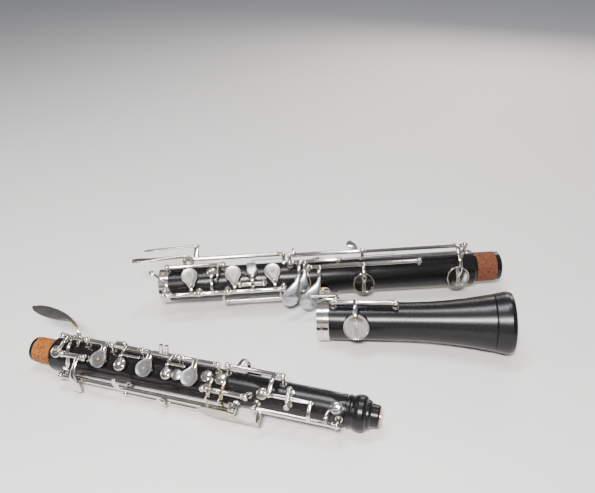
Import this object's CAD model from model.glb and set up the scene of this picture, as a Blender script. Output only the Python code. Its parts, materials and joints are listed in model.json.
"""Looks of a conservatoire-system oboe that lies in its three joints: wood, silver keywork, cork and pads.

Each joint is built in its own millimetres: X runs along it from its left end, angles are counted round that
axis from the line of finger plates, and positive angles are on the near side. A hinge line is (angle,
distance from the axis). Keys are drawn closed, and are then turned about their hinge to where their springs
hold them.
"""
import json
import math

import bpy
from mathutils import Matrix, Vector


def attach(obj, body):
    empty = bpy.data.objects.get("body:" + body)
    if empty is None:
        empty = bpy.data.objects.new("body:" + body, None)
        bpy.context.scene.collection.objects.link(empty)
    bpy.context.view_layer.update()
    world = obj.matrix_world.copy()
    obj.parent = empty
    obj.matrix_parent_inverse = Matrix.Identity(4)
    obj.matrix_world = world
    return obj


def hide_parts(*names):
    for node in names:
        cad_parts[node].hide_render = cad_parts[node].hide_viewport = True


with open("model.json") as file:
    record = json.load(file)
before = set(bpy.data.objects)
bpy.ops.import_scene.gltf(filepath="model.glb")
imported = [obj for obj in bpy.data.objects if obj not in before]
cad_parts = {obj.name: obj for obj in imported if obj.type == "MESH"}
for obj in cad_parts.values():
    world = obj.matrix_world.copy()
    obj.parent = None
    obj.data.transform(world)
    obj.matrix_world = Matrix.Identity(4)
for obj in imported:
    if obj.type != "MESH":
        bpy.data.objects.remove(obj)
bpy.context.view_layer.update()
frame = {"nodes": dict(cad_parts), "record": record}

MM = 0.001
MOUNTS = {mount["name"]: mount for mount in frame["record"]["mounts"]}


# ---- The three joints ----

class Joint:
    """One joint of the oboe: its place in the row, and the radius of its wood where the keys are."""

    def __init__(self, mount, inset, roll, wood):
        """The mount's middle lies inset mm from the left end. The wood is (place, radius) at each end."""
        outwards = Vector(MOUNTS[mount]["axis"])
        along = -outwards
        left_end = Vector(MOUNTS[mount]["pos_m"]) + outwards * inset * MM
        yaw = math.atan2(along.y, along.x)
        pitch = math.asin(along.z)
        turn = Matrix.Rotation(yaw, 4, "Z") @ Matrix.Rotation(-pitch, 4, "Y")
        turn = turn @ Matrix.Rotation(math.radians(roll), 4, "X")
        self.matrix = Matrix.Translation(left_end) @ turn @ Matrix.Scale(MM, 4)
        self.wood = wood

    def wood_r(self, at):
        (start, start_r), (end, end_r) = self.wood
        return start_r + (end_r - start_r) * (at - start) / (end - start)


UPPER = Joint("middle_tenon", inset=9, roll=37, wood=((17.5, 11.2), (215.5, 9.6)))
LOWER = Joint("middle_socket", inset=9, roll=31, wood=((0, 12.3), (241, 13.6)))
BELL = Joint("bell_socket", inset=10, roll=0, wood=((0, 13.3), (55, 13.3)))

# Hinge lines, and the see-saw's (place, angle, distance from the axis)
FAR = (-40, 16.5)
NEAR = (57, 17)
UNDER = (75, 17)
FRONT = (18, 16)
OCTAVE = (39, 16.5)
THUMB = (-41, 17)
G_SHARP = (4, 16.5)
HAND = (49, 18)
F_LINE = (33, 17)
LEFT = (-25, 17.5)
OUTER_LEFT = (-41, 20.5)
TOP = (-33, 20.5)
MIDDLE = (-18, 17.5)
C_LINE = (-1, 17)
UNDER_C = (119, 18.3)
BELL_LINE = (8, 18.5)
SADDLE = (184, 4, 14.18)

# Hinge tubes
TUBE_R = 1.6
COLLAR_R = 1.9
COLLAR_W = 0.8
BORE_R = 0.85

# Degrees by which the springs hold keys open
STAND_OPEN = 9
LONG_ARM_OPEN = 6

# Tone holes' rims, cups and pads
RIM_WALL = 1
RIM_DROP = 0.15
CUP_LIFT = 0.2
CUP_WALL = 0.45
CUP_SKIRT = 0.7
CUP_H = 2.4
ARM_LIFT = 0.6
PAD_H = 1.8
PAD_GAP = 0.08

# Finger plates. The neck's taper is the power by which it narrows from the round.
PLATE_LIFT = 0.35
PIERCING_R = 0.8
NECK_TAPER = 13
NECK_OVERLAP = 1.4

# The radius of a turned shape at its pole
POLE_R = 0.01

# The angle between faces, in degrees, from which an edge is sharp
SHARP_FROM = 42

# Tone holes: (place along the joint, angle, radius of the hole, diameter of its cup)
G_SHARP_HOLE = (24, 1, 2.2, 8)
G_HOLE = (56.4, 0, 2.4, 11)
C_VENT_HOLE = (72, 2, 1.8, 8.4)
A_HOLE = (89, 0, 2.3, 11)
B_FLAT_VENT_HOLE = (104.5, 2, 1.6, 7.6)
B_HOLE = (120, 0, 2.2, 11)
D_TRILL_HOLE = (130, -15, 1.5, 7.4)
C_TRILL_HOLE = (139.5, -15, 1.5, 7.4)
LOWER_OCTAVE_HOLE = (167, 5, 0.8, 7.2)
UPPER_OCTAVE_HOLE = (212, 4, 0.8, 6.8)
F_SHARP_HOLE = (24, 0, 2.8, 12)
FORK_F_HOLE = (40.5, -8, 2, 7.5)
E_HOLE = (56.5, 0, 3, 12)
F_HOLE = (70.5, -5, 3, 9.5)
D_HOLE = (86, 0, 3.3, 12)
C_SHARP_HOLE = (121, -52, 3.2, 9.5)
E_FLAT_HOLE = (124, 72, 3.4, 9.5)
LOW_C_HOLE = (154, 53, 4.6, 16)
LOW_B_HOLE = (225.5, 54, 5, 17)
LOW_B_FLAT_HOLE = (27.5, 69, 5.4, 17.5)


# ---- Materials ----

class Nodes:
    """A material's node tree, with short calls for what the materials here need."""

    def __init__(self, name, **principled):
        self.material = bpy.data.materials.new(name)
        self.material.use_nodes = True
        self.tree = self.material.node_tree
        self.shader = self.tree.nodes["Principled BSDF"]
        for socket, value in principled.items():
            self.shader.inputs[socket.replace("_", " ")].default_value = value
        self.coords = self.tree.nodes.new("ShaderNodeTexCoord").outputs["Object"]

    def link(self, start, end):
        self.tree.links.new(start, end)

    def stretched(self, yaw, scale):
        """Object coordinates turned so that X runs along a joint, and scaled apart in each direction."""
        node = self.tree.nodes.new("ShaderNodeMapping")
        node.vector_type = "TEXTURE"
        node.inputs["Rotation"].default_value = (0, 0, math.radians(yaw))
        node.inputs["Scale"].default_value = scale
        self.link(self.coords, node.inputs["Vector"])
        return node.outputs["Vector"]

    def noise(self, scale, detail=4.0, rough=0.55, vector=None):
        node = self.tree.nodes.new("ShaderNodeTexNoise")
        node.inputs["Scale"].default_value = scale
        node.inputs["Detail"].default_value = detail
        node.inputs["Roughness"].default_value = rough
        self.link(vector or self.coords, node.inputs["Vector"])
        return node.outputs["Fac"]

    def cells(self, scale):
        node = self.tree.nodes.new("ShaderNodeTexVoronoi")
        node.inputs["Scale"].default_value = scale
        self.link(self.coords, node.inputs["Vector"])
        return node.outputs["Distance"]

    def ramp(self, fac, stops):
        """Colours, or grey levels given as numbers, at places from 0 to 1."""
        node = self.tree.nodes.new("ShaderNodeValToRGB")
        elements = node.color_ramp.elements
        while len(elements) < len(stops):
            elements.new(0.5)
        for element, (place, level) in zip(elements, stops):
            element.position = place
            element.color = (*level, 1) if isinstance(level, tuple) else (level, level, level, 1)
        self.link(fac, node.inputs["Fac"])
        return node.outputs["Color"]

    def multiply(self, first, second):
        node = self.tree.nodes.new("ShaderNodeMix")
        node.data_type = "RGBA"
        node.blend_type = "MULTIPLY"
        share, first_colour, second_colour = node.inputs[0], node.inputs[6], node.inputs[7]
        share.default_value = 1.0
        self.link(first, first_colour)
        self.link(second, second_colour)
        return node.outputs[2]

    def bump(self, height, strength, distance):
        node = self.tree.nodes.new("ShaderNodeBump")
        node.inputs["Strength"].default_value = strength
        node.inputs["Distance"].default_value = distance
        self.link(height, node.inputs["Height"])
        self.link(node.outputs["Normal"], self.shader.inputs["Normal"])

    def colour(self, socket):
        self.link(socket, self.shader.inputs["Base Color"])

    def roughness(self, socket):
        self.link(socket, self.shader.inputs["Roughness"])


def blackwood(name, yaw):
    """Grenadilla: almost black, with fine pores and faint brown streaks along the joint."""
    m = Nodes(name, Specular_IOR_Level=0.3)
    grain = m.stretched(yaw, (0.05, 0.003, 0.003))
    streaks = m.noise(2.2, 6, 0.6, grain)
    m.colour(m.ramp(streaks, [(0.3, (0.004, 0.004, 0.005)), (0.62, (0.008, 0.0075, 0.0075)),
                              (0.8, (0.02, 0.014, 0.011))]))
    pores = m.noise(3.4, 8, 0.75, m.stretched(yaw, (0.012, 0.0006, 0.0006)))
    m.roughness(m.ramp(pores, [(0.25, 0.2), (0.75, 0.33)]))
    m.bump(pores, 0.07, 0.00012)
    return m.material


def plated(name, tint, warm, rough, worn, scratch):
    """Silver plate: fine polishing scratches, duller patches, and a little warm tarnish."""
    m = Nodes(name, Metallic=1.0)
    patches = m.noise(160, 5, 0.6)
    m.colour(m.ramp(patches, [(0.35, tint), (0.72, warm)]))
    smears = m.noise(700, 6, 0.7)
    m.roughness(m.ramp(smears, [(0.3, rough), (0.75, worn)]))
    lines = m.noise(2600, 3, 0.6, m.stretched(25, (1, 0.18, 0.4)))
    m.bump(lines, scratch, 0.00003)
    return m.material


def hammered():
    """Silver that fingers have dulled, with the small dents of its hammered face."""
    m = Nodes("silver_hammered", Metallic=1.0)
    m.colour(m.ramp(m.noise(220, 5, 0.6), [(0.3, (0.6, 0.61, 0.63)), (0.7, (0.42, 0.43, 0.46))]))
    m.roughness(m.ramp(m.noise(900), [(0.3, 0.24), (0.7, 0.36)]))
    m.bump(m.cells(900), 0.35, 0.0001)
    return m.material


def blued_steel():
    """Spring steel, tempered dark blue."""
    m = Nodes("blued_steel", Metallic=1.0)
    m.colour(m.ramp(m.noise(300), [(0.3, (0.014, 0.018, 0.045)), (0.75, (0.03, 0.03, 0.055))]))
    m.roughness(m.ramp(m.noise(900), [(0.3, 0.22), (0.7, 0.36)]))
    return m.material


def cork(name, light, dark, specks):
    """Sheet cork: mottled grains with dark pits and short fissures."""
    m = Nodes(name, Specular_IOR_Level=0.25)
    mottle = m.ramp(m.noise(420, 6, 0.7), [(0.32, dark), (0.66, light)])
    pits = m.ramp(m.noise(1100, 3, 0.5), [(specks, (0.06, 0.03, 0.02)), (specks + 0.07, (1.0, 1.0, 1.0))])
    m.colour(m.multiply(mottle, pits))
    m.roughness(m.ramp(m.noise(1500), [(0.3, 0.6), (0.7, 0.88)]))
    m.bump(m.noise(1300, 8, 0.75), 0.6, 0.0003)
    return m.material


def pad_skin():
    """Thin tan skin, a little wrinkled."""
    m = Nodes("pad_skin", Specular_IOR_Level=0.35)
    m.colour(m.ramp(m.noise(900, 5, 0.6), [(0.3, (0.56, 0.33, 0.13)), (0.7, (0.74, 0.5, 0.24))]))
    m.roughness(m.ramp(m.noise(1800), [(0.3, 0.42), (0.7, 0.62)]))
    m.bump(m.noise(2600, 4, 0.6), 0.25, 0.00005)
    return m.material


POLISHED = plated("silver_polished", (0.74, 0.73, 0.71), (0.68, 0.61, 0.5), 0.08, 0.18, 0.015)
SATIN = plated("silver_satin", (0.4, 0.4, 0.395), (0.31, 0.305, 0.285), 0.26, 0.4, 0.2)
WARM = plated("silver_warm", (0.72, 0.64, 0.5), (0.66, 0.53, 0.36), 0.12, 0.26, 0.04)
DULL = plated("silver_dull", (0.5, 0.47, 0.42), (0.42, 0.38, 0.31), 0.22, 0.36, 0.05)
GREY = plated("silver_grey", (0.34, 0.325, 0.3), (0.26, 0.245, 0.225), 0.28, 0.42, 0.2)
STEEL = plated("steel", (0.6, 0.61, 0.63), (0.5, 0.49, 0.48), 0.16, 0.28, 0.03)
BRASS = plated("brass", (0.83, 0.66, 0.33), (0.62, 0.46, 0.2), 0.2, 0.36, 0.1)
HAMMERED = hammered()
BLUED = blued_steel()
PAD = pad_skin()
LOOKS = [POLISHED, SATIN, WARM, DULL, GREY, HAMMERED, PAD, BRASS]


# ---- Shapes in a joint's millimetres ----

ALONG = Vector((1, 0, 0))


def polar(at, angle, r):
    """The point at a place along the joint, an angle round its axis and a distance from it."""
    turn = math.radians(angle)
    return Vector((at, -r * math.sin(turn), r * math.cos(turn)))


def outward(angle):
    return polar(0, angle, 1)


def sideways(angle):
    return polar(0, angle - 90, 1)


def smooth_path(stations, steps):
    """Points of a Catmull-Rom curve through stations, which are tuples of numbers."""
    ends = [stations[0], *stations, stations[-1]]
    path = []
    for i in range(1, len(ends) - 2):
        a, b, c, d = ends[i - 1:i + 3]
        for k in range(steps):
            t = k / steps
            path.append([0.5 * (2 * q + (r - p) * t + (2 * p - 5 * q + 4 * r - s) * t * t
                                + (3 * q - p - 3 * r + s) * t ** 3)
                         for p, q, r, s in zip(a, b, c, d)])
    path.append(list(stations[-1]))
    return path


def soften(outline, reach, steps=3):
    """The outline with each inner corner rounded, by a cut of less than half of either side."""
    out = [outline[0]]
    for before, corner, after in zip(outline, outline[1:], outline[2:]):
        p, q, r = Vector(before), Vector(corner), Vector(after)
        cut = min(reach, (p - q).length * 0.45, (r - q).length * 0.45)
        start = q + (p - q).normalized() * cut
        end = q + (r - q).normalized() * cut
        for k in range(steps + 1):
            t = k / steps
            out.append(tuple(start * (1 - t) ** 2 + q * 2 * t * (1 - t) + end * t * t))
    out.append(outline[-1])
    return out


def ball(height, r):
    """Profile of a ball whose middle is at that height."""
    steps = 10
    profile = []
    for i in range(steps + 1):
        turn = math.pi * i / steps
        profile.append((max(r * math.sin(turn), POLE_R), height - r * math.cos(turn)))
    return profile


class Piece:
    """A mesh in one joint's millimetres, which becomes one object on one body.

    line is the body's hinge line, and opened the degrees it is turned about that line once drawn.
    """

    def __init__(self, name, joint, body, line=None, opened=0, replaces=None):
        self.name = name
        self.joint = joint
        self.body = body
        self.line = line
        self.opened = opened
        self.replaced = replaces
        self.points = []
        self.faces = []
        self.looks = []

    def closed(self, hole):
        """Height of a closed cup's lower edge over the axis, just above its tone hole's flat rim."""
        rim = math.sqrt(self.joint.wood_r(hole[0]) ** 2 - (hole[2] + RIM_WALL) ** 2) - RIM_DROP
        return rim + CUP_LIFT

    def top(self, hole):
        """Height over the axis of an arm that crosses a closed cup."""
        return self.closed(hole) + CUP_H + ARM_LIFT

    def loft(self, rings, look=POLISHED, wrap=False):
        """Joins rings of points into one skin. Its ends are closed, or joined to each other by wrap."""
        first = len(self.points)
        count = len(rings[0])
        faces = []
        for ring in rings:
            self.points.extend(ring)
        for i in range(len(rings) if wrap else len(rings) - 1):
            low = first + i * count
            high = first + (i + 1) % len(rings) * count
            for k in range(count):
                n = (k + 1) % count
                faces.append((low + k, low + n, high + n, high + k))
        if not wrap:
            faces.append(tuple(reversed(range(first, first + count))))
            faces.append(tuple(range(first + (len(rings) - 1) * count, first + len(rings) * count)))
        self.faces.extend(faces)
        self.looks.extend([LOOKS.index(look)] * len(faces))

    def revolve(self, foot, axis, profile, look=POLISHED, sides=32, wrap=False):
        """Turns a profile of (radius, height) about an axis through foot."""
        axis = axis.normalized()
        across = axis.orthogonal().normalized()
        other = axis.cross(across)
        rings = []
        for radius, height in profile:
            ring = []
            for k in range(sides):
                turn = 2 * math.pi * k / sides
                spoke = across * math.cos(turn) + other * math.sin(turn)
                ring.append(foot + axis * height + spoke * radius)
            rings.append(ring)
        self.loft(rings, look, wrap)

    def tube(self, start, end):
        """The hinge tube, with a collar on each end and a bore for the rod."""
        length = end - start
        step = COLLAR_W + 0.05
        profile = soften([
            (BORE_R, 0), (COLLAR_R, 0), (COLLAR_R, COLLAR_W), (TUBE_R, step), (TUBE_R, length - step),
            (COLLAR_R, length - COLLAR_W), (COLLAR_R, length), (BORE_R, length)], 0.18, 2)
        self.revolve(polar(start, *self.line), ALONG, profile, sides=24, wrap=True)

    def sweep(self, stations, wide, look=POLISHED, square=2.6, tips=("short", "short"), steps=5, sides=16):
        """A smooth bar through (place, angle, radius, half width, half thickness).

        wide says which way its width lies: "along" the joint, "around" it or "upright" from it. A number is
        the angle that its broad side faces.
        """
        carried = [(*polar(*s[:3]), s[1], s[3], s[4]) for s in stations]
        path = smooth_path(carried, steps)
        centres = [Vector(p[:3]) for p in path]
        rings = []
        frames = []
        for i, p in enumerate(path):
            ahead = (centres[min(i + 1, len(path) - 1)] - centres[max(i - 1, 0)]).normalized()
            if wide == "along":
                width = ALONG
            elif wide == "upright":
                width = ahead.cross(sideways(p[3]))
            else:
                width = ahead.cross(outward(p[3] if wide == "around" else wide))
            width = (width - ahead * width.dot(ahead)).normalized()
            frames.append((centres[i], ahead, width, width.cross(ahead), p[4], p[5]))

        def ring(centre, width, depth, half_w, half_t):
            loop = []
            for k in range(sides):
                c = math.cos(2 * math.pi * k / sides)
                s = math.sin(2 * math.pi * k / sides)
                u = math.copysign(abs(c) ** (2 / square), c)
                v = math.copysign(abs(s) ** (2 / square), s)
                loop.append(centre + width * (u * half_w) + depth * (v * half_t))
            return loop

        def tip(frame_at, kind, way):
            centre, ahead, width, depth, half_w, half_t = frame_at
            reach = half_w if kind == "round" else min(half_w, half_t)
            out = []
            for t in (0.35, 0.6, 0.8, 0.93, 0.99):
                narrow = math.sqrt(1 - t * t)
                thin = math.sqrt(1 - t ** 4)
                middle = centre + ahead * (way * reach * t)
                out.append(ring(middle, width, depth, half_w * narrow, half_t * thin))
            return out

        rings.extend(reversed(tip(frames[0], tips[0], -1)))
        rings.extend(ring(f[0], f[2], f[3], f[4], f[5]) for f in frames)
        rings.extend(tip(frames[-1], tips[1], 1))
        self.loft(rings, look)

    def arm(self, at, wide, thick, points, taper=(1.25, 0.9)):
        """An arm across the joint, through (angle, radius), a little broader at its hinge."""
        last = len(points) - 1
        stations = []
        for i, (angle, r) in enumerate(points):
            share = taper[0] + (taper[1] - taper[0]) * i / last
            stations.append((at, angle, r, wide / 2 * share, thick / 2))
        self.sweep(stations, "along")

    def rail(self, points, r, look=POLISHED):
        """A round bar through (place, angle, radius)."""
        self.sweep([(*p, r, r) for p in points], "around", look, 2, steps=6, sides=12)

    def leaf(self, stations, look=POLISHED, square=2.0, wide="around", tips=("round", "round"), steps=7):
        """A thin touch, oval in section and with finer steps than a bar."""
        self.sweep(stations, wide, look, square, tips, steps, 24)

    def stud(self, at, angle, low, high, r, look=POLISHED):
        """A small upright barrel with softened ends."""
        profile = soften([(POLE_R, low), (r, low), (r, high), (POLE_R, high)], r * 0.3)
        self.revolve(polar(at, 0, 0), outward(angle), profile, look, 24)

    def pad(self, hole, inset=CUP_WALL + PAD_GAP):
        """The skin pad in a cup, with the ring that its tone hole has pressed into it."""
        r = hole[3] / 2 - inset
        low = self.closed(hole)
        mark = min(hole[2] + 0.5, r - 0.8)
        profile = soften([
            (POLE_R, low + 0.1), (mark - 0.45, low + 0.06), (mark, low + 0.24), (mark + 0.45, low + 0.04),
            (r - 0.3, low + 0.04), (r, low + 0.5), (r, low + PAD_H), (POLE_R, low + PAD_H)], 0.25)
        self.revolve(polar(hole[0], 0, 0), outward(hole[1]), profile, PAD)

    def spoon(self, stations):
        """A drop-shaped touch, domed like the back of a spoon."""
        self.leaf(stations, HAMMERED, 2.2, "along", ("short", "round"), 8)

    def cup(self, hole, dome=0.35, rim=0.0, skirt=CUP_SKIRT):
        """A pad cup: a hollow below for the pad, a round shoulder, and a dome, or a low top inside a rim."""
        r = hole[3] / 2
        low = self.closed(hole)
        roof = PAD_H + PAD_GAP
        inside = [(POLE_R, roof), (r - CUP_WALL, roof), (r - CUP_WALL, skirt), (r, skirt)]
        if rim:
            outside = [(r, CUP_H + rim), (r - 0.6, CUP_H + rim), (r - 0.8, CUP_H - 0.05),
                       (r * 0.72, CUP_H + 0.08), (r * 0.5, CUP_H + 0.22), (r * 0.25, CUP_H + 0.31),
                       (POLE_R, CUP_H + 0.34)]
        else:
            outside = [(r, CUP_H - 0.7), (r - 0.35, CUP_H - 0.1), (r * 0.72, CUP_H + dome * 0.5),
                       (r * 0.4, CUP_H + dome * 0.86), (POLE_R, CUP_H + dome)]
        profile = soften([(x, low + y) for x, y in inside + outside], 0.3, 4)
        self.revolve(polar(hole[0], 0, 0), outward(hole[1]), profile, sides=48)

    def rib(self, hole, reach, height, gap=0.0):
        """The arm's end, which crosses a cup as one rib, or as two with a slot between them."""
        side = sideways(hole[1]) * reach
        for offset in (-gap, gap) if gap else (0,):
            middle = polar(hole[0] + offset, hole[1], self.closed(hole) + CUP_H + 0.1)
            self.prism(middle - side, middle + side, outward(hole[1]), 0.42 if gap else 0.6, height)

    def prism(self, start, end, up, half_w, height):
        """A straight rib with a rounded back, from start to end."""
        ahead = (end - start).normalized()
        width = ahead.cross(up)
        section = [(-1, -0.4), (-1, 0.55), (-0.6, 0.9), (0, 1), (0.6, 0.9), (1, 0.55), (1, -0.4)]
        rings = []
        length = (end - start).length
        for t, share in ((0, 0.25), (0.06, 0.75), (0.16, 1), (0.84, 1), (0.94, 0.75), (1, 0.25)):
            foot = start + ahead * (length * t)
            rings.append([foot + width * (u * half_w) + up * (v * height * share) for u, v in section])
        self.loft(rings)

    def plate(self, hole, neck, pierced, look=SATIN):
        """A finger plate over a pad cup: a flat drop whose narrow end flows into its arm.

        neck is how far along the joint and sideways the arm meets it. A pierced plate has a hole in its
        middle, and any other has a nub.
        """
        r = hole[3] / 2
        low = self.closed(hole)
        up = outward(hole[1])
        reach = math.hypot(*neck)
        ahead = (ALONG * neck[0] + sideways(hole[1]) * neck[1]).normalized()
        beside = up.cross(ahead)
        count = 96
        outline = []
        for k in range(count):
            turn = 2 * math.pi * k / count
            c = math.cos(turn)
            pull = max(c, 0) ** NECK_TAPER
            outline.append((ahead * c + beside * math.sin(turn)) * (r + (reach - r + NECK_OVERLAP) * pull))
        centre = polar(hole[0], hole[1], 0)
        top = low + CUP_H + PLATE_LIFT
        inner = PIERCING_R if pierced else POLE_R
        rings = []
        for share, height in ((None, top - 1.0), (0.99, top - 1.0), (1.0, top - 0.8), (1.0, top - 0.25),
                              (0.975, top - 0.04), (0.93, top), (0.9, top - 0.03), (0.86, top - 0.12),
                              (0.5, top - 0.15), (0.2, top - 0.16), (None, top - 0.18)):
            ring = []
            for point in outline:
                if share is None:
                    ring.append(centre + up * height + point.normalized() * inner)
                else:
                    ring.append(centre + up * height + point * share)
            rings.append(ring)
        self.loft(rings, look, wrap=pierced)
        roof = low + PAD_H + PAD_GAP
        body = [(inner, low + CUP_H - 0.4), (inner, roof), (r - CUP_WALL, roof),
                (r - CUP_WALL, low + CUP_SKIRT), (r, low + CUP_SKIRT), (r, low + CUP_H - 0.4)]
        self.revolve(centre, up, soften(body, 0.12), sides=48, wrap=True)
        if not pierced:
            nub = [(POLE_R, top - 0.4), (1.35, top - 0.4), (1.3, top + 0.15), (0.8, top + 0.55),
                   (POLE_R, top + 0.62)]
            self.revolve(centre, up, soften(nub, 0.3), look, 24)

    def done(self):
        """Makes the object, turns an open key about its hinge, and puts it on its body."""
        place = self.joint.matrix
        if self.opened:
            foot = polar(0, *self.line)
            place = (place @ Matrix.Translation(foot)
                     @ Matrix.Rotation(math.radians(self.opened), 4, "X") @ Matrix.Translation(-foot))
        mesh = bpy.data.meshes.new(self.name)
        mesh.from_pydata([place @ p for p in self.points], [], self.faces)
        for look in LOOKS:
            mesh.materials.append(look)
        for polygon, look in zip(mesh.polygons, self.looks):
            polygon.material_index = look
            polygon.use_smooth = True
        mesh.set_sharp_from_angle(angle=math.radians(SHARP_FROM))
        mesh.validate()
        made = bpy.data.objects.new(self.name, mesh)
        bpy.context.scene.collection.objects.link(made)
        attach(made, self.body)
        if self.replaced:
            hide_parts(*self.replaced)
        return made


def key(node, joint, line, opened=0):
    """A key's metal, which stands for the CAD node of the same name."""
    return Piece(node + "_silver", joint, node, line, opened, [node])


# ---- Keys of the upper joint ----

def g_sharp_cup_key():
    k = key("g_sharp_cup_key", UPPER, FAR)
    k.tube(27.3, 33.5)
    k.sweep([(29, -40, 17.2, 1.5, 0.8), (29, -26, 16.6, 1.3, 0.75), (27.8, -12, 15, 1.2, 0.8),
             (25, -3, k.top(G_SHARP_HOLE) - 0.3, 1.5, 0.6), (23.6, 2, k.top(G_SHARP_HOLE) - 0.5, 1.2, 0.4)],
            "along")
    k.rail([(31, -39, 18.2), (33, -32, 19.2), (36, -24, 20.1)], 0.75)
    k.cup(G_SHARP_HOLE)
    k.pad(G_SHARP_HOLE)
    k.done()


def g_sharp_lever():
    k = key("g_sharp_lever", UPPER, G_SHARP)
    k.tube(33.9, 45.8)
    k.leaf([(43.5, 6, 17.2, 1.8, 0.9), (43.6, 20, 18.4, 1.4, 1), (43.7, 34, 19.9, 2, 1.2),
            (44.2, 48, 21.2, 3.3, 1.3), (44.7, 60, 22.2, 4.1, 1.1), (45, 69, 22.8, 3.8, 0.7)],
           square=2.3, wide="along", tips=("short", "short"))
    k.arm(35.5, 2, 1.3, [G_SHARP, (-9, 17.8), (-20, 18.6)])
    k.leaf([(36.6, 9, 16.4, 1, 0.7), (36.5, 16, 16, 1.4, 0.6), (36.3, 26, 15.6, 1.5, 0.5),
            (36.2, 33, 15.3, 1, 0.4)], wide="along", tips=("short", "round"))
    k.done()


def side_trill_lever():
    k = key("side_trill_lever", UPPER, FAR)
    k.tube(34, 41.3)
    k.sweep([(37.4, -40, 17.4, 1.7, 0.9), (37.2, -44, 19.2, 1.5, 0.8), (34, -51, 21.6, 1.3, 0.7),
             (29, -58, 24.3, 1.5, 0.6), (25, -60, 25.1, 1.8, 0.55)], "around", WARM)
    k.leaf([(26, -60, 25, 1.9, 0.55), (20, -61.5, 25.7, 3.7, 0.6), (12, -63, 26.6, 4.9, 0.6),
            (4, -65, 27.4, 4.8, 0.6), (-2, -66, 28.1, 3.4, 0.5), (-5, -66.5, 28.4, 1.6, 0.4)],
           GREY, wide=-38)
    k.arm(39.5, 2, 1.3, [FAR, (-30, 17), (-22, 15.6)])
    k.done()


def g_plate():
    k = key("g_plate", UPPER, FAR, -STAND_OPEN)
    k.tube(45.6, 60.2)
    k.plate(G_HOLE, (1.4, 7.2), True)
    k.arm(57.6, 3.2, 1.5, [(-39, 17.6), (-31, 16), (-23, 14.4)])
    k.done()


def vent_key(node, start, end, hole, bar):
    """A small open vent key, with a thin bar that runs on under the next finger plate."""
    k = key(node, UPPER, FAR, -STAND_OPEN)
    k.tube(start, end)
    k.cup(hole, 0.7)
    k.pad(hole)
    k.sweep([(hole[0] + 1.2, -39, 17.6, 1.4, 0.8), (hole[0] + 0.8, -28, 16.8, 1.1, 0.75),
             (hole[0] + 0.3, -14, 15.2, 1, 0.7), (hole[0], -4, k.top(hole) - 0.1, 0.9, 0.6),
             (hole[0] - 0.2, 8, k.top(hole) - 0.3, 0.8, 0.4),
             (hole[0] - 0.3, 15, k.top(hole) - 0.9, 0.7, 0.3)], "along")
    k.rail([(bar[0], -20, 15.4), (bar[1], -20, 15.4)], 0.75)
    return k


def c_vent_key():
    k = vent_key("c_vent_key", 64.4, 82.4, C_VENT_HOLE, (72, 84.5))
    foot = polar(64.5, FAR[0], FAR[1] + 1)
    k.prism(foot, foot + Vector((9, 0, 0)), outward(FAR[0]), 1.5, 2.6)
    for at in (66.4, 71.4):
        k.stud(at, FAR[0], FAR[1] + 3, FAR[1] + 4.2, 0.75)
    k.done()


def a_plate():
    k = key("a_plate", UPPER, FAR, -STAND_OPEN)
    k.tube(86.6, 99.6)
    k.plate(A_HOLE, (1.4, 7.2), True)
    k.arm(90.6, 3.2, 1.5, [(-39, 17.6), (-31, 15.8), (-23, 14.2)])
    k.stud(97.7, FAR[0], FAR[1] + 1, FAR[1] + 7, 1.35)
    k.done()


def b_flat_vent_key():
    k = vent_key("b_flat_vent_key", 99.9, 108.3, B_FLAT_VENT_HOLE, (105, 116))
    k.stud(101.6, FAR[0], FAR[1] + 1, FAR[1] + 7, 1.35)
    k.done()


def b_plate():
    """The index finger's plate, with the small eight-sided touch that lets the finger roll off the hole."""
    k = key("b_plate", UPPER, FAR, -STAND_OPEN)
    k.tube(112.4, 134.2)
    k.plate(B_HOLE, (1.4, 7.2), True)
    k.arm(121.6, 3.2, 1.5, [(-39, 17.6), (-31, 15.6), (-23, 14)])
    low = k.closed(B_HOLE) + CUP_H
    touch = [(POLE_R, low - 0.6), (3.3, low - 0.6), (3.6, low - 0.3), (3.6, low + 0.25), (3.35, low + 0.45),
             (POLE_R, low + 0.5)]
    k.revolve(polar(111.8, 0, 0), outward(0), touch, SATIN, 8)
    k.done()


def trill_key(node, hole, tube, cross):
    """A small key whose tail reaches across the joint at the place cross, to under its lever's end."""
    k = key(node, UPPER, FRONT)
    k.tube(*tube)
    k.cup(hole)
    k.pad(hole)
    k.sweep([(hole[0] - 1.4, hole[1] - 8, k.top(hole) - 0.6, 0.6, 0.4),
             (hole[0], hole[1], k.top(hole) - 0.2, 0.8, 0.5), (cross - 0.4, -6, 15, 1, 0.6),
             (cross, -2, 15.5, 1.1, 0.7)], "along")
    k.sweep([(cross, -4, 15.3, 1.1, 0.7), (cross, 6, 16.2, 1.1, 0.7), (cross, 18, 17.5, 1.25, 0.7),
             (cross, 30, 17.4, 1.1, 0.6)], "along", WARM, 4)
    k.stud(cross, 28, 16.4, 18.7, 1)
    k.done()


def d_trill_lever():
    k = key("d_trill_lever", UPPER, NEAR)
    k.tube(33, 149.1)
    k.leaf([(75, 56, 18.4, 1.1, 0.9), (74.8, 50, 19, 1.5, 0.8), (74.2, 43, 19.9, 2.2, 0.65),
            (73.7, 37, 20.4, 2.1, 0.55), (73.4, 32.5, 20.6, 1.3, 0.45)],
           wide="along", tips=("short", "round"))
    k.rail([(135.6, 57, 18.6), (135.6, 47, 19), (135.6, 38, 19.8), (135.6, 29, 20.9)], 0.7, WARM)
    k.done()


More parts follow.
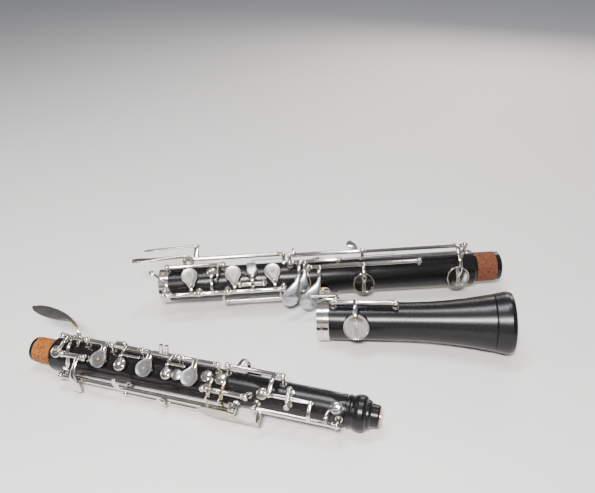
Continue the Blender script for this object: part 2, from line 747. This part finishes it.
def c_trill_lever():
    k = key("c_trill_lever", UPPER, UNDER)
    k.tube(79, 145.1)
    k.rail([(106, 75, 18), (106, 74, 19.4), (106, 72, 20.2)], 1)
    k.leaf([(106, 75, 19.4, 1.2, 0.9), (105.8, 69, 20.2, 1.5, 0.8), (105.2, 61, 21, 2.2, 0.65),
            (104.7, 55, 21.5, 2.1, 0.55), (104.4, 50.5, 21.7, 1.3, 0.45)],
           wide="along", tips=("short", "round"))
    k.rail([(143.9, 75, 15.6), (143.9, 58, 14.6), (143.9, 46, 15.6), (143.9, 42, 18.2), (143.9, 29, 20.9)],
           0.7, WARM)
    k.done()


def side_octave_key():
    k = key("side_octave_key", UPPER, OCTAVE)
    k.tube(166.4, 212.6)
    k.arm(168.5, 3, 1.5, [(41, 17.8), (48, 19.6), (58, 22.4)], taper=(1.1, 0.9))
    k.leaf([(168.8, 57.5, 22.4, 1.2, 0.7), (160, 57, 22.2, 1.7, 0.7), (150, 56, 21.7, 2.8, 0.7),
            (141, 55, 21.1, 3.7, 0.65), (134, 54, 20.8, 2.9, 0.55), (130.6, 54, 20.6, 1.2, 0.4)],
           DULL, 2.6, tips=("short", "round"))
    k.arm(198, 2.2, 1.4, [(37, 17.8), (26, 18), (8, 16.8)])
    k.revolve(polar(198, 0, 0), outward(5), ball(15.9, 1.6), sides=24)
    k.sweep([(208, 37, 17.8, 1.3, 0.7), (208, 26, 17, 1.1, 0.7), (208.6, 14, 14.6, 1, 0.7),
             (211, 6, k.top(UPPER_OCTAVE_HOLE), 0.9, 0.6),
             (213.6, 3, k.top(UPPER_OCTAVE_HOLE) - 0.5, 0.7, 0.4)], "along")
    k.cup(UPPER_OCTAVE_HOLE)
    k.pad(UPPER_OCTAVE_HOLE)
    k.done()


def octave_see_saw():
    """The see-saw over the saddle posts is a pair of thin strands that part and meet."""
    k = key("octave_see_saw", UPPER, SADDLE[1:])
    at, angle, r = SADDLE
    pivot = polar(at, angle, r)
    k.revolve(pivot - sideways(angle) * 2.4, sideways(angle),
              [(BORE_R, 0), (1.5, 0), (1.5, 4.8), (BORE_R, 4.8)], sides=24, wrap=True)
    for side in (-1, 1):
        k.rail([(169, 4.5 + side, k.top(LOWER_OCTAVE_HOLE) - 0.1), (173, 4.2 + side * 2.4, 14.4),
                (179, 4 + side * 2.8, 14.6), (184, 4 + side * 2.6, 14.5), (191, 4 + side * 2.2, 13.9),
                (199, 4 + side, 13)], 0.55)
    k.cup(LOWER_OCTAVE_HOLE)
    k.pad(LOWER_OCTAVE_HOLE)
    k.rib(LOWER_OCTAVE_HOLE, 2.6, 0.7)
    k.done()


def thumb_octave_key():
    k = key("thumb_octave_key", UPPER, THUMB)
    k.tube(144.6, 175.9)
    k.arm(173, 2.4, 1.4, [(-39, 18.2), (-20, 18.5), (4, 17.4)])
    k.revolve(polar(173, 0, 0), outward(4), ball(17.3, 1.8), sides=24)
    k.arm(150, 3, 1.6, [(-43, 18), (-70, 18.5), (-100, 17.5), (-125, 15.6)])
    k.leaf([(149, -124, 15.4, 2, 0.7), (151, -130, 15.2, 4.2, 0.7), (154, -137, 15, 4.6, 0.65),
            (156.5, -142, 14.9, 3.4, 0.5)], wide="along")
    k.done()


# ---- Keys of the lower joint ----

def bridge_lever():
    k = key("bridge_lever", LOWER, HAND)
    k.tube(6.4, 14.6)
    k.sweep([(9.6, 47, 19.2, 1.5, 0.8), (9.4, 38, 20, 1.3, 0.8), (8, 26, 20.3, 1.1, 0.8),
             (4, 12, 19.9, 1, 0.8), (-1.4, -3, 18.7, 1, 0.8)], "around")
    foot = polar(-3.6, -8, 0)
    k.revolve(foot, outward(-8), soften([(0.9, 17.3), (2.1, 17.3), (2.1, 19), (0.9, 19)], 0.4), sides=28,
              wrap=True)
    k.done()


def near_plate(node, hole, tube, root, pierced):
    """A finger plate of the right hand. Its arm leaves the tube at the place root."""
    k = key(node, LOWER, HAND, STAND_OPEN)
    k.tube(*tube)
    k.plate(hole, (root - hole[0], -8.4), pierced, GREY)
    k.sweep([(root, 48, 19.4, 1.8, 0.8), (root, 43, 19.8, 1.5, 0.8), (root, 34, 18.6, 1.4, 0.8),
             (root - 0.3, 26, 17, 1.5, 0.7)], "along")
    k.done()


def fork_f_vent_key():
    """The small vent key carries a long bar, which the tails of the plates beside it press."""
    k = key("fork_f_vent_key", LOWER, HAND, STAND_OPEN)
    k.tube(32.5, 49.9)
    k.tube(90.6, 92)
    k.cup(FORK_F_HOLE, 0.7)
    k.pad(FORK_F_HOLE)
    k.sweep([(41, 47, 19.2, 1.3, 0.8), (41, 38, 20, 1.2, 0.8), (40.8, 22, 18.8, 1.1, 0.75),
             (40.6, 6, 17, 1, 0.7), (40.5, -8, k.top(FORK_F_HOLE), 0.9, 0.6),
             (40.5, -20, k.top(FORK_F_HOLE) - 0.8, 0.7, 0.4)], "along")
    for at, wide in ((48.9, 1.6), (91.3, 1.4)):
        k.arm(at, wide, 3, [(51, 18.4), (60, 19.4), (71, 20)], taper=(1, 1))
    k.sweep([(48.5, 71, 20, 1, 0.7), (70, 71, 20, 1, 0.7), (92, 71, 20, 1, 0.7)], "around", square=4)
    for at in (53, 87):
        k.stud(at, 71, 19.2, 21.6, 0.8, BRASS)
    k.done()


def f_key():
    k = key("f_key", LOWER, F_LINE)
    k.tube(63.2, 77.1)
    k.cup(F_HOLE, 0.3)
    k.sweep([(71, 35, 18, 1.8, 0.8), (71, 24, 18.6, 1.5, 0.8), (71, 10, 17.4, 1.4, 0.8),
             (70.6, -2, k.top(F_HOLE) + 0.1, 1.3, 0.7), (70.4, -12, k.top(F_HOLE) - 0.5, 1, 0.4)], "along")
    k.sweep([(70.2, -27, 17, 3.1, 0.45), (70.3, -20, 16.9, 3.5, 0.5), (70.5, -10, 16.9, 3.6, 0.5),
             (70.6, 0, 17.1, 3.5, 0.5), (70.9, 8, 17.5, 2.2, 0.6)], "along", SATIN, 4)
    k.arm(71, 2.4, 1.4, [(34, 17.4), (40, 18)])
    k.done()


def left_e_flat_lever():
    """A flat lever with a rounded elbow, which runs past the socket to the left hand's little finger."""
    k = key("left_e_flat_lever", LOWER, LEFT)
    k.tube(9.1, 47.7)
    k.sweep([(26.6, -26, 18.6, 1.5, 0.85), (26.2, -28.6, 20.8, 1.5, 0.85), (25.2, -30.6, 23.2, 1.7, 0.85),
             (22, -31.2, 24.9, 1.6, 0.85), (14, -30.4, 25.1, 1.35, 0.9), (4, -29, 24.9, 1.1, 1.2),
             (-5, -28, 24.9, 0.85, 2.1), (-12, -27.4, 25, 0.7, 2.7), (-17, -27, 25.1, 0.6, 2.2)],
            "upright", DULL, tips=("short", "round"))
    k.rail([(45.6, -24, 19), (45.6, -16, 19.4), (45.6, -8, 18.8), (45.2, 6, 18), (44.3, 20, 17.1)], 0.75)
    k.done()


def left_b_flat_lever():
    k = key("left_b_flat_lever", LOWER, OUTER_LEFT)
    k.tube(21.9, 93.1)
    k.sweep([(29, -43, 21.4, 2.2, 0.8), (29, -50, 24, 2, 0.8), (29, -56, 26.8, 1.9, 0.8),
             (28.6, -60, 28.6, 2, 0.8)], "along")
    k.leaf([(29.5, -60, 28.9, 1.8, 0.8), (22, -58.6, 28.8, 2.2, 0.7), (8, -54.6, 28.4, 2.8, 0.7),
            (-2, -51.6, 28.1, 3.3, 0.65), (-8, -50, 28, 2.4, 0.5)], DULL, 2.8)
    k.arm(91, 2.4, 1.4, [(-41, 22), (-37, 23.4), (-33, 24.4)])
    k.done()


def e_flat_lever():
    k = key("e_flat_lever", LOWER, MIDDLE)
    k.tube(101.4, 108.4)
    k.sweep([(105.8, -16, 18.8, 1.6, 0.8), (105.9, -6, 20.6, 1.4, 0.8), (105.8, 10, 22, 1.3, 0.8),
             (105.2, 24, 22.9, 1.4, 0.85)], "along")
    k.spoon([(105.3, 20, 22.8, 1.3, 0.9), (104, 30, 23.4, 1.9, 1), (101.6, 42, 24.4, 3.9, 1.15),
             (99.2, 53, 25.4, 5.7, 1.2), (98, 60, 26, 6, 1.1)])
    k.done()


def c_sharp_key():
    """The middle touch sits inside a thin wire frame."""
    k = key("c_sharp_key", LOWER, MIDDLE)
    k.tube(108.8, 135)
    k.sweep([(110, -16, 18.8, 1.3, 0.75), (110, -2, 19.8, 1.2, 0.75), (110, 14, 19.2, 1.2, 0.75)], "along")
    k.spoon([(110, 12, 19.2, 1.2, 0.8), (109.6, 22, 19.1, 2, 0.9), (108.7, 33, 19.1, 3.6, 1),
             (108, 41, 19.1, 4.4, 1), (108, 44, 19.1, 4.3, 0.9)])
    k.rail([(108.8, 8, 19.4), (105.4, 16, 19.5), (102.9, 28, 19.6), (102.5, 40, 19.7), (104.3, 51, 19.8),
            (108, 56, 19.9), (111.8, 51, 19.8), (113.6, 40, 19.7), (113.4, 28, 19.6), (111.8, 16, 19.5)],
           0.42, WARM)
    k.cup(C_SHARP_HOLE)
    k.pad(C_SHARP_HOLE)
    k.sweep([(121, -19, 17.8, 1.4, 0.7), (121, -33, 17.2, 1.2, 0.65),
             (121, -46, k.top(C_SHARP_HOLE) - 0.1, 1, 0.6), (121, -56, k.top(C_SHARP_HOLE) - 0.4, 0.8, 0.4)],
            "along")
    k.done()


def e_flat_cup_key():
    k = key("e_flat_cup_key", LOWER, UNDER_C, STAND_OPEN)
    k.tube(116, 132)
    k.cup(E_FLAT_HOLE, skirt=1.3)
    k.pad(E_FLAT_HOLE, 0.2)
    k.sweep([(124, 117, 19.3, 1.6, 0.8), (124, 98, 19.3, 1.3, 0.75), (124, 84, 17.8, 1.2, 0.75),
             (124, 74, k.top(E_FLAT_HOLE), 1.1, 0.7), (124, 64, k.top(E_FLAT_HOLE) - 0.8, 0.8, 0.4)],
            "along")
    k.done()


def low_c_key():
    k = key("low_c_key", LOWER, C_LINE, -STAND_OPEN)
    k.tube(114.9, 195)
    k.cup(LOW_C_HOLE, rim=0.3)
    k.rib(LOW_C_HOLE, 7.1, 0.8, 0.72)
    k.sweep([(153.8, 1, 18.4, 1.7, 0.85), (153.9, 14, 20, 1.4, 0.85), (154, 28, 19.8, 1.3, 0.85),
             (154, 40, 18.4, 1.25, 0.8), (154, 50, k.top(LOW_C_HOLE) - 0.1, 1.2, 0.6)], "along")
    k.sweep([(120.5, 1, 18.4, 1.7, 0.85), (120.6, 14, 20.4, 1.5, 0.85), (120.5, 28, 21.5, 1.4, 0.85),
             (119.8, 38, 22.2, 1.6, 0.9)], "along")
    k.spoon([(120.4, 30, 21.7, 1.4, 0.9), (119, 41, 22.6, 2.1, 1), (116, 53, 23.8, 4.2, 1.15),
             (113.2, 64, 24.8, 5.9, 1.2), (111.5, 72, 25.4, 6.3, 1.1)])
    k.done()


def low_b_key():
    k = key("low_b_key", LOWER, TOP, -LONG_ARM_OPEN)
    k.tube(156.9, 232.1)
    k.cup(LOW_B_HOLE, rim=0.3)
    k.rib(LOW_B_HOLE, 7.6, 0.8, 0.72)
    k.sweep([(226, -32, 21.9, 1.9, 0.9), (226, -18, 23.4, 1.7, 0.9), (226, 0, 22.9, 1.5, 0.9),
             (225.9, 18, 21.4, 1.4, 0.85), (225.7, 36, 19, 1.3, 0.8),
             (225.5, 51, k.top(LOW_B_HOLE) - 0.1, 1.2, 0.6)], "along")
    k.done()


def bell_link_lever():
    """Carries the left hand's low note levers along to the bell, with a flag-shaped end."""
    k = key("bell_link_lever", LOWER, TOP)
    k.tube(101.4, 153.1)
    k.arm(103, 2.4, 1.4, [(-34, 21.6), (-40, 23), (-45, 23.6)])
    k.leaf([(150, -34, 21.8, 1.6, 0.8), (149, -38, 23, 2.6, 0.75), (147.6, -43, 24.2, 3.8, 0.7),
            (147, -46, 24.8, 3.6, 0.6)], square=2.6, wide="along", tips=("short", "round"))
    k.done()


# ---- Key of the bell ----

def low_b_flat_key():
    k = key("low_b_flat_key", BELL, BELL_LINE, -LONG_ARM_OPEN)
    k.tube(13.4, 52.1)
    k.cup(LOW_B_FLAT_HOLE, rim=0.3)
    k.rib(LOW_B_FLAT_HOLE, 7.8, 0.8, 0.72)
    k.sweep([(27, 9, 19.9, 1.9, 0.9), (27, 24, 21.2, 1.6, 0.9), (27.2, 40, 20.8, 1.5, 0.85),
             (27.4, 54, 19.4, 1.4, 0.8), (27.5, 66, k.top(LOW_B_FLAT_HOLE) - 0.1, 1.2, 0.6)], "along")
    k.rail([(15, 4, 19.4), (15, -5, 20.1), (12.6, -8, 20), (6, -8, 19.8), (-4, -8, 19.6)], 0.9)
    k.done()


# ---- Pads that have a CAD solid of their own ----

def pad_piece(node, joint, body, line, opened, hole):
    """A pad on its own, which turns with the key it sits in."""
    piece = Piece(node + "_skin", joint, body, line, opened, [node])
    piece.pad(hole)
    made = piece.done()


def pads():
    for node, body, hole in (("g_pad", "g_plate", G_HOLE), ("a_pad", "a_plate", A_HOLE),
                             ("b_pad", "b_plate", B_HOLE)):
        pad_piece(node, UPPER, body, FAR, -STAND_OPEN, hole)
    for node, body, hole in (("f_sharp_pad", "f_sharp_plate", F_SHARP_HOLE), ("e_pad", "e_plate", E_HOLE),
                             ("d_pad", "d_plate", D_HOLE)):
        pad_piece(node, LOWER, body, HAND, STAND_OPEN, hole)
    pad_piece("f_pad", LOWER, "f_key", F_LINE, 0, F_HOLE)
    pad_piece("low_c_pad", LOWER, "low_c_key", C_LINE, -STAND_OPEN, LOW_C_HOLE)
    pad_piece("low_b_pad", LOWER, "low_b_key", TOP, -LONG_ARM_OPEN, LOW_B_HOLE)
    pad_piece("low_b_flat_pad", BELL, "low_b_flat_key", BELL_LINE, -LONG_ARM_OPEN, LOW_B_FLAT_HOLE)


# ---- CAD nodes that stay, with their materials ----

def dress(node, material):
    """Gives a CAD node its material."""
    held = frame["nodes"][node]
    held.data.materials.clear()
    held.data.materials.append(material)


def dress_cad_nodes():
    dress("upper_body", blackwood("blackwood_upper", -10))
    dress("lower_body", blackwood("blackwood_lower", 9.5))
    dress("bell_body", blackwood("blackwood_bell", -1))
    dress("upper_tenon_cork", cork("cork_upper", (0.38, 0.135, 0.028), (0.21, 0.062, 0.014), 0.37))
    dress("lower_tenon_cork", cork("cork_lower", (0.19, 0.06, 0.028), (0.1, 0.03, 0.016), 0.36))
    dress("reed_well_liner", BRASS)
    for node in ("upper_posts", "lower_posts", "bell_posts", "lower_socket_ring", "bell_socket_ring",
                 "thumb_rest"):
        dress(node, POLISHED)
    for node in ("upper_hinge_rods", "lower_hinge_rods", "bell_hinge_rod", "thumb_rest_screws"):
        dress(node, STEEL)
    for node in ("upper_springs", "lower_springs", "bell_spring"):
        dress(node, BLUED)


# ---- Stage, light and camera ----

def pale_floor():
    """Matt paint, hardly mottled."""
    m = Nodes("floor", Roughness=0.75)
    m.colour(m.ramp(m.noise(3), [(0.3, (0.8, 0.79, 0.775)), (0.7, (0.83, 0.82, 0.805))]))
    return m.material


def stage():
    mesh = bpy.data.meshes.new("floor")
    half = 4.0
    corners = [(-half, -half, 0), (half, -half, 0), (half, half, 0), (-half, half, 0)]
    mesh.from_pydata(corners, [], [(0, 1, 2, 3)])
    mesh.materials.append(pale_floor())
    floor = bpy.data.objects.new("floor", mesh)
    bpy.context.scene.collection.objects.link(floor)


def lamp(name, place, aim, size, power, colour):
    """A soft box at place that faces aim, with its width and height in size."""
    data = bpy.data.lights.new(name, "AREA")
    data.shape = "RECTANGLE"
    data.size, data.size_y = size
    data.energy = power
    data.color = colour
    lamp_object = bpy.data.objects.new(name, data)
    lamp_object.location = place
    lamp_object.rotation_euler = (Vector(aim) - Vector(place)).to_track_quat("-Z", "Y").to_euler()
    bpy.context.scene.collection.objects.link(lamp_object)


def lights():
    """A dim room, dark at the horizon and lighter overhead. A small key lamp hangs above the camera, a long
    one over the row, and weaker ones stand in front, behind and at the left.
    """
    world = bpy.data.worlds.new("studio")
    bpy.context.scene.world = world
    world.use_nodes = True
    tree = world.node_tree
    direction = tree.nodes.new("ShaderNodeTexCoord").outputs["Generated"]
    height = tree.nodes.new("ShaderNodeSeparateXYZ")
    tree.links.new(direction, height.inputs["Vector"])
    ramp = tree.nodes.new("ShaderNodeValToRGB")
    ramp.color_ramp.elements[0].position = 0.05
    ramp.color_ramp.elements[0].color = (0.16, 0.15, 0.15, 1)
    ramp.color_ramp.elements[1].position = 0.9
    ramp.color_ramp.elements[1].color = (0.34, 0.36, 0.4, 1)
    tree.links.new(height.outputs["Z"], ramp.inputs["Fac"])
    tree.links.new(ramp.outputs["Color"], tree.nodes["Background"].inputs["Color"])
    tree.nodes["Background"].inputs["Strength"].default_value = 0.8
    lamp("key", (0.02, -0.42, 0.5), (0, 0, 0), (0.12, 0.07), 7.5, (1, 0.98, 0.95))
    lamp("top", (-0.1, 0.1, 0.95), (0, 0, 0), (0.5, 0.07), 6.5, (0.95, 0.97, 1))
    lamp("front", (-0.05, -0.95, 0.22), (0, 0, 0.02), (0.9, 0.3), 0.8, (0.95, 0.97, 1))
    lamp("back", (0.35, 0.8, 0.45), (0, 0, 0), (0.5, 0.2), 4.0, (1, 0.93, 0.84))
    lamp("side", (-0.8, -0.1, 0.3), (0, 0, 0), (0.15, 0.3), 1.8, (1, 0.9, 0.78))


def camera():
    """Looks down at the row from the near side, a little to the right of its middle."""
    data = bpy.data.cameras.new("camera")
    data.lens = 34.3
    data.sensor_width = 36
    data.clip_start = 0.01
    made = bpy.data.objects.new("camera", data)
    right = Vector((0.9938, 0.1063, -0.0314))
    up = Vector((-0.0306, 0.5358, 0.8438))
    back = right.cross(up)
    turn = Matrix((right, up, back)).transposed()
    made.matrix_world = Matrix.Translation((0.0557, -0.3036, 0.274)) @ turn.to_4x4()
    bpy.context.scene.collection.objects.link(made)
    bpy.context.scene.camera = made


camera()
dress_cad_nodes()
g_sharp_cup_key()
g_sharp_lever()
side_trill_lever()
g_plate()
c_vent_key()
a_plate()
b_flat_vent_key()
b_plate()
trill_key("d_trill_key", D_TRILL_HOLE, tube=(133.2, 139.4), cross=135.6)
trill_key("c_trill_key", C_TRILL_HOLE, tube=(139.8, 156.8), cross=143.9)
d_trill_lever()
c_trill_lever()
side_octave_key()
octave_see_saw()
thumb_octave_key()
bridge_lever()
near_plate("f_sharp_plate", F_SHARP_HOLE, tube=(14.9, 28.5), root=25.5, pierced=False)
near_plate("e_plate", E_HOLE, tube=(53.8, 70), root=57.6, pierced=True)
near_plate("d_plate", D_HOLE, tube=(70.4, 90.3), root=87.5, pierced=False)
fork_f_vent_key()
f_key()
left_e_flat_lever()
left_b_flat_lever()
e_flat_lever()
c_sharp_key()
e_flat_cup_key()
low_c_key()
low_b_key()
bell_link_lever()
low_b_flat_key()
pads()
stage()
lights()
